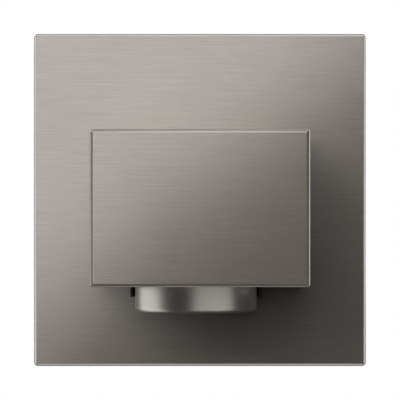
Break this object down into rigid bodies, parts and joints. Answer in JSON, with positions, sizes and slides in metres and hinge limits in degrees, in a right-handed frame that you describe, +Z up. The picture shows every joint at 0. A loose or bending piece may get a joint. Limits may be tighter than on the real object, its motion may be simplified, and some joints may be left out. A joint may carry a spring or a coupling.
{
  "type": "rocker wall switch",
  "caption": "Square flush-mounted wall switch with a proud self-centring rocker key, a rotary dimmer knob under it and a mechanism box behind the plate.",
  "frame": {"origin": "centre of the square face plate, on the wall plane that the plate's rim rests on", "axes": "+Y into the wall along the wall box's axis, so the front faces -Y; +X to the right seen from the front; +Z up"},
  "size_m": [0.081, 0.068, 0.081],
  "materials": {
    "brushed_skin": "satin",
    "black_plastic": "satin",
    "grey_plastic": "satin",
    "white_plastic": "satin",
    "zinc_steel": "satin",
    "spring_steel": "polished",
    "brass_parts": "satin",
    "copper_parts": "satin",
    "board_green": "satin",
    "dark_resin": "satin",
    "aluminium_parts": "satin",
    "yellow_film": "gloss",
    "fuse_glass": "clear",
    "carbon_track": "matte"
  },
  "bodies": {
    "device": {"face_plate": "brushed_skin", "knob_carrier": "black_plastic", "potentiometer_lead": "black_plastic", "plate_clip_frame": "grey_plastic", "mechanism_base": "white_plastic", "mechanism_cover": "white_plastic", "lead_connector": "white_plastic", "support_ring": "zinc_steel", "device_screw_left": "zinc_steel", "device_screw_right": "zinc_steel", "cover_screw_upper": "zinc_steel", "cover_screw_lower": "zinc_steel", "carrier_screw_left": "zinc_steel", "carrier_screw_right": "zinc_steel", "rocker_axle": "zinc_steel", "terminal_screw_upper_left": "zinc_steel", "terminal_screw_upper_right": "zinc_steel", "terminal_screw_lower_left": "zinc_steel", "terminal_screw_lower_right": "zinc_steel", "potentiometer_housing": "zinc_steel", "potentiometer_washer": "zinc_steel", "potentiometer_nut": "zinc_steel", "centring_spring_upper": "spring_steel", "centring_spring_lower": "spring_steel", "contact_strip_upper_left": "brass_parts", "contact_strip_upper_right": "brass_parts", "contact_strip_lower_left": "brass_parts", "contact_strip_lower_right": "brass_parts", "terminal_block_upper_left": "brass_parts", "terminal_block_upper_right": "brass_parts", "terminal_block_lower_left": "brass_parts", "terminal_block_lower_right": "brass_parts", "choke_coil": "copper_parts", "dimmer_circuit_board": "board_green", "triac": "dark_resin", "potentiometer_cover": "dark_resin", "heat_sink": "aluminium_parts", "capacitor": "yellow_film", "fuse": "fuse_glass", "resistive_track": "carbon_track"},
    "key": {"key_shell": "brushed_skin", "key_yoke": "black_plastic"},
    "carriage": {"contact_carriage": "grey_plastic", "contact_bridge_upper": "copper_parts", "contact_bridge_lower": "copper_parts"},
    "knob": {"knob_shell": "brushed_skin", "knob_core": "black_plastic", "potentiometer_shaft": "zinc_steel", "potentiometer_wiper": "brass_parts"}
  },
  "joints": [
    {"name": "key_tilt", "type": "hinge", "parent": "device", "child": "key", "pos_m": [0, -0.012, -0.00184], "axis": [1, 0, 0], "range_deg": [-3.5, 3.5], "stiffness_Nm_per_rad": 2, "springref_deg": -0.34},
    {"name": "carriage_slide", "type": "slide", "parent": "device", "child": "carriage", "axis": [0, 0, 1], "range_m": [-0.00112, 0.00112], "deforming": ["centring_spring_upper", "centring_spring_lower"]},
    {"name": "knob_turn", "type": "hinge", "parent": "device", "child": "knob", "pos_m": [-0.00097, -0.023, -0.0262], "axis": [0, 0, 1], "range_deg": [-145, 145]}
  ],
  "couplings": [
    {"joint": "carriage_slide", "follows": "key_tilt", "m_per_rad": 0.0182}
  ]
}
